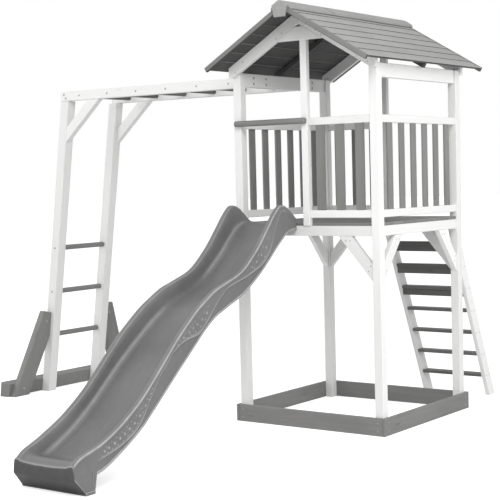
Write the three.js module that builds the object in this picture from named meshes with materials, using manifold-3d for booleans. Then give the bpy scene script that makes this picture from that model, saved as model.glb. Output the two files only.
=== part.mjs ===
// Wooden play tower: roofed deck over a sandbox, plastic slide, ladder and climbing frame.
// Millimetres, +Z up. The slide leaves towards -Y, the ladder +Y, the climbing frame -X.
import * as THREE from "three";
import Module from "manifold-3d";

const wasm = await Module();
wasm.setup();

// Clearance left at the end of every cut timber
const FIT = 0.3;

// Tower
const TOWER_X = 992;
const TOWER_Y = 996;
const POST = 54;
const POST_BELOW_ROOF = 34;
const RAIL_T = 32;
const BEAM_TOP = 1180;
const BEAM_H = 58;
const DECK_BOARD_T = 18;
const DECK_BOARDS = 7;
const DECK_GAP = 5;
const SANDBOX_H = 102;
const SANDBOX_T = 20;

// Knee braces under the deck
const BRACE_REACH_OUT = 225;
const BRACE_REACH_IN = 140;
const BRACE_SLOPE = 1.16;

// Balustrades
const RAIL_H = 44;
const LOW_RAIL_Z = 1226;
const TOP_RAIL_Z = 1758;
const SLAT_W = 58;
const SLAT_T = 11;
const SLAT_OUT = 9;
const SLAT_PITCH = 137;
const SHORT_SLAT_PITCH = 131;
const MID_POST_W = 44;
const MID_FRONT_X = 8;
const MID_BACK_X = -25;
const HANDRAIL_R = 17.5;
const HANDRAIL_Z = 1786;

// Roof
const PITCH = THREE.MathUtils.degToRad(30.5);
const APEX_Z = 2416;
const RAFTER_D = 66;
const RAFTER_T = 28;
const RAFTER_OVERHANG = 9;
const COLLAR_Z = 2246;
const COLLAR_H = 77;
const TOP_BEAM_H = 80;
const ROOF_LEN = 1400;
const EAVE_OVERHANG = 59;
const ROOF_BOARDS = 7;
const ROOF_T = 16;
const ROOF_LAP = 5;
const FASCIA_T = 20;
const FASCIA_D = 8;
const CAP_W = 66;
const CAP_T = 14;

// Slide
const SLIDE_W = 420;
const SLIDE_X = -228;
const SLIDE_WALL = 7;
const SLIDE_TAPER = 42;
const SLIDE_STEPS = 40;
const SLIDE_DECK = 1180;

// Ladder
const LADDER_LEAN = THREE.MathUtils.degToRad(24);
const STRINGER_D = 75;
const STRINGER_T = 28;
const STRINGER_LEFT_X = -55;
const STRINGER_RIGHT_X = 404;
const TREADS = 7;
const TREAD_T = 20;
const TREAD_D = 76;
const RISER_H = 42;
const RISERS_FROM = 5;

// Climbing frame
const CLIMB_HALF_Y = 280;
const CLIMB_POST = 72;
const CLIMB_FOOT_X = -2414;
const CLIMB_LEAN = 0.139;
const CLIMB_BELOW_EAVE = 7;
const CLIMB_BEAM_H = 64;
const CLIMB_BEAM_T = 44;
const CLIMB_BRACE_OUT = 280;
const CLIMB_BRACE_IN = 178;
const RUNG_R = 17.5;
const RUNGS = 6;
const RUNG_FIRST_X = -695;
const RUNG_PITCH = 253.5;
const END_RUNG_Z = [400, 705, 1010];
const BASE_HALF_Y = 600;
const BASE_W = 80;
const BASE_H = 90;
const BASE_BRACE_T = 46;

const HALF_X = TOWER_X / 2;
const HALF_Y = TOWER_Y / 2;
const IN_X = HALF_X - POST;
const IN_Y = HALF_Y - POST;
const MID_X = HALF_X - POST / 2;
const MID_Y = HALF_Y - POST / 2;
const BEAM_Z = BEAM_TOP - BEAM_H;
const SLOPE = Math.tan(PITCH);
const roofLine = (x) => APEX_Z - SLOPE * Math.abs(x);
const POST_H = roofLine(HALF_X) - POST_BELOW_ROOF;
const RAFTER_FOOT_X = HALF_X + RAFTER_OVERHANG;
const EAVE_X = HALF_X + EAVE_OVERHANG;
const CLIMB_BEAM_Z = roofLine(EAVE_X) - CLIMB_BELOW_EAVE - CLIMB_BEAM_H;

const WHITE = new THREE.MeshStandardMaterial({ color: 0xeeeeec, roughness: 0.6, metalness: 0 });
const GREY = new THREE.MeshStandardMaterial({ color: 0x868684, roughness: 0.7, metalness: 0 });
const ROOFING = new THREE.MeshStandardMaterial({ color: 0xa2a29f, roughness: 0.75, metalness: 0 });
const PLASTIC = new THREE.MeshStandardMaterial({ color: 0x6f7172, roughness: 0.35, metalness: 0 });

const group = new THREE.Group();
group.name = "play_tower";

function add(name, geometry, material) {
  const mesh = new THREE.Mesh(geometry, material.clone());
  mesh.name = name;
  group.add(mesh);
}

// Box between two corners
function box(x0, x1, y0, y1, z0, z1) {
  const g = new THREE.BoxGeometry(x1 - x0, y1 - y0, z1 - z0);
  return g.translate((x0 + x1) / 2, (y0 + y1) / 2, (z0 + z1) / 2);
}

function shapeOf(points, hole) {
  const shape = new THREE.Shape(points.map(([a, b]) => new THREE.Vector2(a, b)));
  if (hole) shape.holes.push(new THREE.Path(hole.map(([a, b]) => new THREE.Vector2(a, b))));
  return shape;
}

// Profile drawn in X-Z, running from y0 to y1
function alongY(points, y0, y1, hole) {
  const g = new THREE.ExtrudeGeometry(shapeOf(points, hole), { depth: y1 - y0, bevelEnabled: false });
  return g.rotateX(Math.PI / 2).translate(0, y1, 0);
}

// Profile drawn in Y-Z, running from x0 to x1
function alongX(points, x0, x1) {
  const g = new THREE.ExtrudeGeometry(shapeOf(points), { depth: x1 - x0, bevelEnabled: false });
  const m = new THREE.Matrix4().set(0, 0, 1, x0, 1, 0, 0, 0, 0, 1, 0, 0, 0, 0, 0, 1);
  return g.applyMatrix4(m);
}

// Round bar along Y or X
function barY(x, z, y0, y1, r) {
  return new THREE.CylinderGeometry(r, r, y1 - y0, 32).translate(x, (y0 + y1) / 2, z);
}

function barX(y, z, x0, x1, r) {
  const g = new THREE.CylinderGeometry(r, r, x1 - x0, 32).rotateZ(Math.PI / 2);
  return g.translate((x0 + x1) / 2, y, z);
}

function solid(geometry) {
  const keys = new Map();
  const verts = [];
  const tris = [];
  const pos = geometry.getAttribute("position");
  const count = geometry.index ? geometry.index.count : pos.count;
  for (let i = 0; i < count; i++) {
    const v = geometry.index ? geometry.index.getX(i) : i;
    const p = [pos.getX(v), pos.getY(v), pos.getZ(v)];
    const key = p.map((c) => Math.round(c * 1e4)).join(",");
    if (!keys.has(key)) {
      keys.set(key, verts.length / 3);
      verts.push(...p);
    }
    tris.push(keys.get(key));
  }
  const kept = [];
  for (let i = 0; i < tris.length; i += 3) {
    const [a, b, c] = tris.slice(i, i + 3);
    if (a !== b && b !== c && a !== c) kept.push(a, b, c);
  }
  return new wasm.Manifold(new wasm.Mesh({
    numProp: 3,
    vertProperties: new Float32Array(verts),
    triVerts: new Uint32Array(kept),
  }));
}

function toGeometry(manifold) {
  const mesh = manifold.getMesh();
  const g = new THREE.BufferGeometry();
  g.setAttribute("position", new THREE.BufferAttribute(new Float32Array(mesh.vertProperties), 3));
  g.setIndex(new THREE.BufferAttribute(new Uint32Array(mesh.triVerts), 1));
  const flat = g.toNonIndexed();
  flat.computeVertexNormals();
  return flat;
}

function union(parts) {
  return toGeometry(parts.map(solid).reduce((a, b) => a.add(b)));
}

// Corner posts stand on the ground inside the sandbox boards
function cornerPosts() {
  for (const [side, sx] of [["left", -1], ["right", 1]]) {
    for (const [end, sy] of [["front", -1], ["back", 1]]) {
      const x = sx * MID_X;
      const y = sy * MID_Y;
      const h = POST / 2;
      add(`corner_post_${end}_${side}`, box(x - h, x + h, y - h, y + h, 0, POST_H), WHITE);
    }
  }
}

// Posts in the middle of the front and back, from deck beam to gable
function midPosts() {
  const top = roofLine(MID_POST_W) - 2;
  for (const [end, sy, x] of [["front", -1, MID_FRONT_X], ["back", 1, MID_BACK_X]]) {
    const a = sy * HALF_Y;
    const b = sy * (HALF_Y - RAIL_T);
    const h = MID_POST_W / 2;
    add(`mid_post_${end}`, box(x - h, x + h, Math.min(a, b), Math.max(a, b), BEAM_TOP + FIT, top), WHITE);
  }
}

function deckBeams() {
  const t = RAIL_T / 2;
  for (const [end, sy] of [["front", -1], ["back", 1]]) {
    const y = sy * MID_Y;
    add(`deck_beam_${end}`, box(-IN_X + FIT, IN_X - FIT, y - t, y + t, BEAM_Z, BEAM_TOP), WHITE);
  }
  for (const [side, sx] of [["left", -1], ["right", 1]]) {
    const x = sx * MID_X;
    add(`deck_beam_${side}`, box(x - t, x + t, -IN_Y + FIT, IN_Y - FIT, BEAM_Z, BEAM_TOP), WHITE);
  }
}

// Slanting brace from a post face (at distance "face" from the centre) to the beam above
function bracePoints(face, sign) {
  const z = BEAM_Z - FIT;
  const f = face - FIT;
  return [
    [sign * f, z - BRACE_REACH_OUT * BRACE_SLOPE],
    [sign * f, z - BRACE_REACH_IN * BRACE_SLOPE],
    [sign * (f - BRACE_REACH_IN), z],
    [sign * (f - BRACE_REACH_OUT), z],
  ];
}

function kneeBraces() {
  const t = RAIL_T / 2;
  for (const [side, sx] of [["left", -1], ["right", 1]]) {
    for (const [end, sy] of [["front", -1], ["back", 1]]) {
      const y = sy * MID_Y;
      const x = sx * MID_X;
      add(`knee_brace_${end}_${side}_a`, alongY(bracePoints(IN_X, sx), y - t, y + t), WHITE);
      add(`knee_brace_${end}_${side}_b`, alongX(bracePoints(IN_Y, sy), x - t, x + t), WHITE);
    }
  }
}

// Side boards cover the ends of the front and back boards
function sandbox() {
  const out = SANDBOX_T + FIT;
  const ySpan = HALF_Y + out;
  for (const [side, sx] of [["left", -1], ["right", 1]]) {
    const a = sx * (HALF_X + FIT);
    const b = sx * (HALF_X + out);
    add(`sandbox_${side}`, box(Math.min(a, b), Math.max(a, b), -ySpan, ySpan, 0, SANDBOX_H), GREY);
  }
  for (const [end, sy] of [["front", -1], ["back", 1]]) {
    const a = sy * (HALF_Y + FIT);
    const b = sy * (HALF_Y + out);
    add(`sandbox_${end}`, box(-HALF_X, HALF_X, Math.min(a, b), Math.max(a, b), 0, SANDBOX_H), GREY);
  }
}

// Two rails with upright slats let into them near the outer face; "place" turns a run into a box
function balustrade(name, from, to, count, pitch, place) {
  const parts = [
    place(from, to, 0, RAIL_T / 2, LOW_RAIL_Z, LOW_RAIL_Z + RAIL_H),
    place(from, to, 0, RAIL_T / 2, TOP_RAIL_Z, TOP_RAIL_Z + RAIL_H),
  ];
  for (let i = 0; i < count; i++) {
    const c = (from + to) / 2 + (i - (count - 1) / 2) * pitch;
    const [a, b] = [c - SLAT_W / 2, c + SLAT_W / 2];
    parts.push(place(a, b, SLAT_OUT, SLAT_T / 2, LOW_RAIL_Z + 20, TOP_RAIL_Z + 20));
  }
  add(name, union(parts), GREY);
}

function balustrades() {
  const onX = (x) => (a, b, out, t, z0, z1) => {
    const c = x + Math.sign(x) * out;
    return box(c - t, c + t, a, b, z0, z1);
  };
  const onY = (y) => (a, b, out, t, z0, z1) => {
    const c = y + Math.sign(y) * out;
    return box(a, b, c - t, c + t, z0, z1);
  };
  const half = MID_POST_W / 2 + FIT;
  const span = IN_Y - FIT;
  balustrade("balustrade_front", MID_FRONT_X + half, IN_X - FIT, 3, SHORT_SLAT_PITCH, onY(-MID_Y));
  balustrade("balustrade_back", -IN_X + FIT, MID_BACK_X - half, 3, SHORT_SLAT_PITCH, onY(MID_Y));
  balustrade("balustrade_left", -span, span, 6, SLAT_PITCH, onX(-MID_X));
  balustrade("balustrade_right", -span, span, 6, SLAT_PITCH, onX(MID_X));
}

function handrail() {
  const y = -HALF_Y - FIT - HANDRAIL_R;
  add("handrail", barX(y, HANDRAIL_Z, -HALF_X + 22, MID_FRONT_X + MID_POST_W / 2 - 4, HANDRAIL_R), GREY);
}

// Deck boards lie on the side beams, notched round the posts, with three battens below
function deck() {
  const spanY = 2 * (HALF_Y - RAIL_T - FIT);
  const pitch = (spanY + DECK_GAP) / DECK_BOARDS;
  const wide = MID_X + RAIL_T / 2;
  const narrow = IN_X - FIT;
  const notchY = IN_Y - FIT;
  const z0 = BEAM_TOP + FIT;
  const z1 = z0 + DECK_BOARD_T;
  const parts = [];
  for (let i = 0; i < DECK_BOARDS; i++) {
    const y0 = -spanY / 2 + i * pitch;
    const y1 = y0 + pitch - DECK_GAP;
    parts.push(box(-narrow, narrow, y0, y1, z0, z1));
    parts.push(box(-wide, wide, Math.max(y0, -notchY), Math.min(y1, notchY), z0, z1));
  }
  const battenEnd = MID_Y - RAIL_T / 2 - FIT;
  for (const x of [-narrow + 20, 0, narrow - 20]) {
    parts.push(box(x - 20, x + 20, -battenEnd, battenEnd, BEAM_TOP - 36, z0 + 2));
  }
  add("deck", union(parts), GREY);
}

function topBeams() {
  const t = RAIL_T / 2;
  for (const [side, sx] of [["left", -1], ["right", 1]]) {
    const x = sx * MID_X;
    const z0 = POST_H - TOP_BEAM_H;
    add(`top_beam_${side}`, box(x - t, x + t, -IN_Y + FIT, IN_Y - FIT, z0, POST_H), WHITE);
  }
}

// Two rafters and a collar in one plane, with the small triangle above the collar open
function gableFrames() {
  const depth = RAFTER_D / Math.cos(PITCH);
  const foot = roofLine(RAFTER_FOOT_X);
  const cut = foot - 57;
  const inner = APEX_Z - depth;
  const xCut = (inner - cut) / SLOPE;
  const xLow = (inner - COLLAR_Z) / SLOPE;
  const xHigh = (inner - COLLAR_Z - COLLAR_H) / SLOPE;
  const half = [[0, APEX_Z], [RAFTER_FOOT_X, foot], [RAFTER_FOOT_X, cut], [xCut, cut], [xLow, COLLAR_Z]];
  const mirrored = half.slice(1).reverse().map(([x, z]) => [-x, z]);
  const hole = [[-xHigh, COLLAR_Z + COLLAR_H], [xHigh, COLLAR_Z + COLLAR_H], [0, inner]];
  const points = [...half, ...mirrored];
  const near = HALF_Y + FIT;
  add("gable_frame_front", alongY(points, -near - RAFTER_T, -near, hole), WHITE);
  add("gable_frame_back", alongY(points, near, near + RAFTER_T, hole), WHITE);
}

// Lapped boards: flat underneath, one small step per board on top
function roofProfile() {
  const x0 = FIT / 2;
  const pitch = (EAVE_X - x0) / ROOF_BOARDS;
  const t = ROOF_T / Math.cos(PITCH);
  const points = [[x0, roofLine(x0) + FIT], [EAVE_X, roofLine(EAVE_X) + FIT]];
  for (let i = ROOF_BOARDS; i > 0; i--) {
    const low = x0 + i * pitch;
    const high = low - pitch;
    points.push([low, roofLine(low) + FIT + t + ROOF_LAP]);
    points.push([high, roofLine(high) + FIT + t]);
  }
  return points;
}

// A strip along the slope, between two distances from the ridge and two heights off the boards' underside
function slopeStrip(from, to, low, high) {
  const [a, b] = [low / Math.cos(PITCH), high / Math.cos(PITCH)];
  return [
    [from, roofLine(from) + a],
    [to, roofLine(to) + a],
    [to, roofLine(to) + b],
    [from, roofLine(from) + b],
  ];
}

function roof() {
  const end = ROOF_LEN / 2;
  for (const [side, sx] of [["left", -1], ["right", 1]]) {
    const flip = (points) => points.map(([x, z]) => [sx * x, z]);
    const fascia = flip(slopeStrip(FIT / 2, EAVE_X, -FASCIA_D, ROOF_T + ROOF_LAP - 0.5));
    add(`roof_slope_${side}`, union([
      alongY(flip(roofProfile()), -end + FASCIA_T - 1, end - FASCIA_T + 1),
      alongY(fascia, -end, -end + FASCIA_T),
      alongY(fascia, end - FASCIA_T, end),
      alongY(flip(slopeStrip(30, EAVE_X - 12, -28, 2)), -16, 16),
    ]), ROOFING);
  }
}

// V-shaped cap with a five-sided plate closing each end
function ridgeCap() {
  const seat = APEX_Z + ROOF_T / Math.cos(PITCH) + ROOF_LAP + 2 * FIT;
  const t = CAP_T / Math.cos(PITCH);
  const at = (x) => seat - SLOPE * x;
  const cap = [[0, seat], [CAP_W, at(CAP_W)], [CAP_W, at(CAP_W) + t], [0, seat + t]];
  const left = [[-CAP_W, at(CAP_W) + t], [-CAP_W, at(CAP_W)]];
  const plate = [[0, seat + t], [50, at(50) + t], [34, seat - 82], [-34, seat - 82], [-50, at(50) + t]];
  const end = ROOF_LEN / 2 + FIT;
  add("ridge_cap", union([
    alongY([...cap, ...left], -end - 1, end + 1),
    alongY(plate, -end - FASCIA_T, -end),
    alongY(plate, end, end + FASCIA_T),
  ]), ROOFING);
}

// Distance out from the tower, then heights of rim, floor and lower edge
const SLIDE_LINE = [
  [2, 1226, 1206, 1158],
  [80, 1286, 1202, 1146],
  [150, 1306, 1174, 1104],
  [215, 1262, 1122, 1052],
  [300, 1170, 1042, 982],
  [400, 1066, 962, 908],
  [540, 960, 868, 826],
  [700, 906, 812, 768],
  [800, 876, 776, 732],
  [900, 828, 724, 676],
  [1000, 772, 662, 604],
  [1150, 664, 556, 494],
  [1260, 568, 470, 408],
  [1370, 468, 378, 318],
  [1460, 392, 308, 248],
  [1600, 300, 218, 166],
  [1740, 232, 150, 100],
  [1820, 204, 126, 84],
  [1890, 180, 116, 80],
  [1942, 142, 112, 78],
];

// Closed solid through rings that all have the same number of points
function loft(rings) {
  const n = rings[0].length;
  const verts = rings.flat(2);
  const tris = [];
  for (let i = 0; i + 1 < rings.length; i++) {
    for (let j = 0; j < n; j++) {
      const a = i * n + j;
      const b = i * n + (j + 1) % n;
      tris.push(a, b, b + n, a, b + n, a + n);
    }
  }
  const outline = rings[0].map(([x, , z]) => new THREE.Vector2(x, z));
  const caps = THREE.ShapeUtils.triangulateShape(outline, []);
  const last = (rings.length - 1) * n;
  for (const [a, b, c] of caps) {
    tris.push(c, b, a, last + a, last + b, last + c);
  }
  const g = new THREE.BufferGeometry();
  g.setAttribute("position", new THREE.Float32BufferAttribute(verts, 3));
  g.setIndex(tris);
  const s = solid(g);
  if (s.volume() > 0) return s;
  const flipped = [];
  for (let i = 0; i < tris.length; i += 3) flipped.push(tris[i], tris[i + 2], tris[i + 1]);
  g.setIndex(flipped);
  return solid(g);
}

// Heights along the slide, smoothly joined, and stretched to the height of the deck
function slideStations(from, to) {
  const curves = [1, 2, 3].map((k) =>
    new THREE.SplineCurve(SLIDE_LINE.map((row) => new THREE.Vector2(row[0], row[k] * BEAM_TOP / SLIDE_DECK))));
  const stations = [];
  for (let i = 0; i <= SLIDE_STEPS; i++) {
    const t = i / SLIDE_STEPS;
    const [rim, floor, low] = curves.map((c) => c.getPoint(t));
    if (rim.x >= from && rim.x <= to) stations.push({ u: rim.x, rim: rim.y, floor: floor.y, low: low.y });
  }
  return stations;
}

// The slide narrows towards the tower along its right side
const narrowing = (u) => SLIDE_TAPER * THREE.MathUtils.smoothstep(1350 - u, 0, 850);

// Places a half-section on both sides of the slide
function bothSides(half, u) {
  const y = -HALF_Y - u;
  const right = half.map(([x, z]) => [SLIDE_X + x - narrowing(u), y, z]);
  const left = half.slice().reverse().map(([x, z]) => [SLIDE_X - x, y, z]);
  return [...right, ...left];
}

// Section of the outside, and of the hollow under it
function slideOutside({ u, rim, floor, low }) {
  const h = SLIDE_W / 2;
  const half = [
    [h, low], [h, rim - 14], [h - 6, rim - 4], [h - 16, rim],
    [h - 28, rim - 6], [h - 36, rim - 20], [h - 44, floor + 22], [h - 62, floor + 6], [h / 3, floor - 4],
  ];
  return bothSides(half, u);
}

function slideHollow({ u, rim, floor, low }) {
  const h = SLIDE_W / 2;
  const w = SLIDE_WALL;
  const half = [
    [h - w, low - 60], [h - w, rim - 18], [h - 16, rim - 9],
    [h - 27, rim - 16], [h - 37, floor + 16], [h - 58, floor - 2], [h / 3, floor - 4 - w],
  ];
  return bothSides(half, u);
}

function slide() {
  const h = SLIDE_W / 2;
  const w = SLIDE_WALL;
  const end = SLIDE_LINE[SLIDE_LINE.length - 1][0];
  const footIn = -HALF_Y - 1808;
  const footOut = -HALF_Y - 1868;
  const lipOut = -HALF_Y - end + 3;
  const x0 = SLIDE_X - h;
  const x1 = SLIDE_X + h;
  const tongueZ = BEAM_TOP + FIT;
  const footTop = 104 * BEAM_TOP / SLIDE_DECK;
  const foot = (inset, base, top) => [
    [footIn - inset, base], [footOut + inset, base], [lipOut + inset, 82], [lipOut + inset, top], [footIn - inset, top],
  ];
  const outside = loft(slideStations(0, end).map(slideOutside))
    .add(solid(alongX(foot(0, 0, footTop), x0, x1)))
    .add(solid(box(x0 - 4, x1 + 4, footOut - 6, footIn, 0, 18)))
    .add(solid(box(x0 + 50, x1 - SLIDE_TAPER - 50, -HALF_Y - 12, -HALF_Y + RAIL_T - 1, tongueZ, tongueZ + 18)));
  const hollow = loft(slideStations(10, end - 8).map(slideHollow))
    .add(solid(alongX(foot(w, 0, footTop - 6), x0 + w, x1 - w)))
    .add(solid(box(x0 + w, x1 - w, footOut + w, footIn - w, -20, 1)));
  add("slide", toGeometry(outside.subtract(hollow)), PLASTIC);
}

const ladderFront = (z) => MID_Y + RAIL_T / 2 + FIT + (BEAM_Z - z) * Math.tan(LADDER_LEAN);

function ladder() {
  const depth = STRINGER_D / Math.cos(LADDER_LEAN);
  const face = MID_Y + RAIL_T / 2 + FIT;
  const side = [
    [ladderFront(0), 0],
    [ladderFront(0) + depth, 0],
    [ladderFront(BEAM_TOP) + depth, BEAM_TOP],
    [face, BEAM_TOP],
    [face, BEAM_Z],
  ];
  for (const [name, x] of [["left", STRINGER_LEFT_X], ["right", STRINGER_RIGHT_X]]) {
    add(`ladder_stringer_${name}`, alongX(side, x, x + STRINGER_T), WHITE);
  }
  const x0 = STRINGER_LEFT_X + STRINGER_T + FIT;
  const x1 = STRINGER_RIGHT_X - FIT;
  const rise = BEAM_TOP / (TREADS + 1);
  for (let i = 1; i <= TREADS; i++) {
    const top = i * rise;
    const y = ladderFront(top) + 4;
    const parts = [box(x0, x1, y, y + TREAD_D, top - TREAD_T, top)];
    if (i >= RISERS_FROM) {
      parts.push(box(x0, x1, y + 12, y + 12 + 18, top - TREAD_T - RISER_H, top - TREAD_T + 2));
    }
    add(`ladder_tread_${i}`, union(parts), GREY);
  }
}

const climbPostRight = (z) => CLIMB_FOOT_X + CLIMB_POST + CLIMB_LEAN * z;

// Overhead beams, each with its knee brace to the end post
function climbingBeams() {
  const left = CLIMB_FOOT_X + CLIMB_LEAN * CLIMB_BEAM_Z;
  const right = -MID_X - RAIL_T / 2 - FIT;
  const top = CLIMB_BEAM_Z + CLIMB_BEAM_H;
  const face = (drop) => climbPostRight(CLIMB_BEAM_Z - drop) + FIT;
  const brace = [
    [face(CLIMB_BRACE_OUT), CLIMB_BEAM_Z - CLIMB_BRACE_OUT],
    [face(0) + CLIMB_BRACE_OUT, CLIMB_BEAM_Z],
    [face(0) + CLIMB_BRACE_OUT, CLIMB_BEAM_Z + 4],
    [face(0) + CLIMB_BRACE_IN, CLIMB_BEAM_Z + 4],
    [face(0) + CLIMB_BRACE_IN, CLIMB_BEAM_Z],
    [face(CLIMB_BRACE_IN), CLIMB_BEAM_Z - CLIMB_BRACE_IN],
  ];
  for (const [end, sy] of [["front", -1], ["back", 1]]) {
    const a = sy * CLIMB_HALF_Y;
    const b = sy * (CLIMB_HALF_Y - CLIMB_BEAM_T);
    const y0 = Math.min(a, b);
    const y1 = Math.max(a, b);
    add(`climbing_beam_${end}`, union([
      box(left, right, y0, y1, CLIMB_BEAM_Z, top),
      alongY(brace, y0, y1),
    ]), WHITE);
  }
}

// Posts lean in towards the tower and are cut level at foot and head
function climbingPosts() {
  const x = CLIMB_FOOT_X;
  const h = CLIMB_BEAM_Z - FIT;
  const dx = CLIMB_LEAN * h;
  const points = [[x, 0], [x + CLIMB_POST, 0], [x + CLIMB_POST + dx, h], [x + dx, h]];
  add("climbing_post_front", alongY(points, -CLIMB_HALF_Y, -CLIMB_HALF_Y + CLIMB_POST), WHITE);
  add("climbing_post_back", alongY(points, CLIMB_HALF_Y - CLIMB_POST, CLIMB_HALF_Y), WHITE);
}

function rungs() {
  const over = CLIMB_HALF_Y - CLIMB_BEAM_T - FIT;
  const z = CLIMB_BEAM_Z + CLIMB_BEAM_H / 2;
  for (let i = 0; i < RUNGS; i++) {
    add(`overhead_rung_${i + 1}`, barY(RUNG_FIRST_X - i * RUNG_PITCH, z, -over, over, RUNG_R), GREY);
  }
  const low = CLIMB_HALF_Y - CLIMB_POST - FIT;
  END_RUNG_Z.forEach((height, i) => {
    const x = CLIMB_FOOT_X + CLIMB_POST / 2 + CLIMB_LEAN * height;
    add(`end_rung_${i + 1}`, barY(x, height, -low, low, RUNG_R), GREY);
  });
}

// Ground beam outside the posts, with a slanting board up to each post
function baseFrame() {
  const x1 = CLIMB_FOOT_X - FIT;
  const x0 = x1 - BASE_W;
  const dx = CLIMB_LEAN * BASE_H;
  const beam = [[x0, 0], [x1, 0], [x1 + dx, BASE_H], [x0 + dx, BASE_H + BASE_W * CLIMB_LEAN]];
  const lean = new THREE.Matrix4().makeShear(0, 0, 0, 0, CLIMB_LEAN, 0);
  const face = CLIMB_HALF_Y + FIT;
  const board = (sy) => {
    const points = [[585, 0], [445, 0], [face, 400], [face, 560], [350, 576]];
    return alongX(points.map(([y, z]) => [sy * y, z]), x1 - 6, x1 + BASE_BRACE_T).applyMatrix4(lean);
  };
  add("base_frame", union([alongY(beam, -BASE_HALF_Y, BASE_HALF_Y), board(-1), board(1)]), GREY);
}

cornerPosts();
midPosts();
deckBeams();
kneeBraces();
sandbox();
balustrades();
handrail();
deck();
topBeams();
gableFrames();
roof();
ridgeCap();
slide();
ladder();
climbingBeams();
climbingPosts();
rungs();
baseFrame();

// Origin at the middle of the footprint, on the ground
const bounds = new THREE.Box3().setFromObject(group);
const centre = bounds.getCenter(new THREE.Vector3());
for (const mesh of group.children) {
  mesh.geometry.translate(-centre.x, -centre.y, -bounds.min.z);
}

export default group;
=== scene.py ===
import math
import random

import bmesh
import bpy
from mathutils import Matrix, Vector


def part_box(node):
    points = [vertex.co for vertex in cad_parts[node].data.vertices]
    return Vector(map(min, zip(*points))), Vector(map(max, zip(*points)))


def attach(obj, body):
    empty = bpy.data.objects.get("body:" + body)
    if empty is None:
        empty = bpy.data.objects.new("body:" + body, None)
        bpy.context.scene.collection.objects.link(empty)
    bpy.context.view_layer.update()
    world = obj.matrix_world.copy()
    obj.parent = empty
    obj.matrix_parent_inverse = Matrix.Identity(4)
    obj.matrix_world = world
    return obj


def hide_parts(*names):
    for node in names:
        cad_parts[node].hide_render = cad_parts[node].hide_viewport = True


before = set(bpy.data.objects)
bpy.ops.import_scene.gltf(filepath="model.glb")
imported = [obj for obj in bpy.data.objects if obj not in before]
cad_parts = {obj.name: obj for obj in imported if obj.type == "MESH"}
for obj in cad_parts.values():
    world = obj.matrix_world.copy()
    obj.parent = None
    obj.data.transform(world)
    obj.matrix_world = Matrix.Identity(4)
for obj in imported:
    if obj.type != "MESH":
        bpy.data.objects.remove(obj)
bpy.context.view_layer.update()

# Metres. The tower frame has its origin on the ground in the middle of the tower,
# +X along the slide face, -Y towards the slide, -X towards the climbing frame.
LOW_POST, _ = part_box("corner_post_front_left")
_, HIGH_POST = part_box("corner_post_back_right")
ORIGIN = Vector(((LOW_POST[0] + HIGH_POST[0]) / 2, (LOW_POST[1] + HIGH_POST[1]) / 2, 0))
HALF_X = (HIGH_POST[0] - LOW_POST[0]) / 2
HALF_Y = (HIGH_POST[1] - LOW_POST[1]) / 2
POST_H = HIGH_POST[2]
POST = 0.054
IN_X, IN_Y = HALF_X - POST, HALF_Y - POST
MID_X, MID_Y = HALF_X - POST / 2, HALF_Y - POST / 2
FIT = 0.0003
RAIL_T = 0.032
BEAM_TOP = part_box("deck_beam_front")[1][2]
BEAM_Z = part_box("deck_beam_front")[0][2]
DECK_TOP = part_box("deck")[1][2]
X, Y, Z = Vector((1, 0, 0)), Vector((0, 1, 0)), Vector((0, 0, 1))

PITCH = math.radians(30.5)
APEX_Z = 2.416
ROOF_HALF = 0.7
EAVE_X = HALF_X + 0.059
RAFTER_T = 0.028
FASCIA_T = 0.020

rng = random.Random(7)
collection = bpy.context.scene.collection


def roof_line(x):
    return APEX_Z - math.tan(PITCH) * abs(x)


# ---------------------------------------------------------------- materials

class Nodes:
    """Short way to write a node tree."""

    def __init__(self, name):
        self.material = bpy.data.materials.new(name)
        self.material.use_nodes = True
        self.tree = self.material.node_tree
        self.shader = self.tree.nodes["Principled BSDF"]

    def add(self, kind, inputs=None, **settings):
        node = self.tree.nodes.new("ShaderNode" + kind)
        for key, value in settings.items():
            setattr(node, key, value)
        for key, value in (inputs or {}).items():
            self.put(node.inputs[key], value)
        return node

    def put(self, socket, value):
        if hasattr(value, "is_output"):
            self.tree.links.new(value, socket)
        else:
            socket.default_value = value

    def math(self, operation, a, b=0.0, clamp=False):
        node = self.add("Math", {0: a, 1: b}, operation=operation, use_clamp=clamp)
        return node.outputs[0]

    def scale(self, vector, factors):
        node = self.add("VectorMath", {0: vector, 1: factors}, operation="MULTIPLY")
        return node.outputs[0]

    def noise(self, vector, size, detail=3.0, rough=0.55, distortion=0.0):
        node = self.add("TexNoise", {"Vector": vector, "Scale": size, "Detail": detail,
                                     "Roughness": rough, "Distortion": distortion})
        return node.outputs[0]

    def ramp(self, value, low, high, to_low=0.0, to_high=1.0):
        node = self.add("MapRange", {0: value, 1: low, 2: high, 3: to_low, 4: to_high})
        return node.outputs[0]

    def mix(self, factor, a, b, blend="MIX"):
        node = self.add("Mix", data_type="RGBA", blend_type=blend)
        self.put(node.inputs[0], factor)
        self.put(node.inputs[6], a)
        self.put(node.inputs[7], b)
        return node.outputs[2]

    def bump(self, height, strength, distance, normal=None):
        node = self.add("Bump", {"Height": height, "Strength": strength, "Distance": distance})
        if normal is not None:
            self.put(node.inputs["Normal"], normal)
        return node.outputs[0]

    def finish(self, color, roughness, normal):
        self.put(self.shader.inputs["Base Color"], color)
        self.put(self.shader.inputs["Roughness"], roughness)
        self.put(self.shader.inputs["Normal"], normal)
        return self.material


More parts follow.
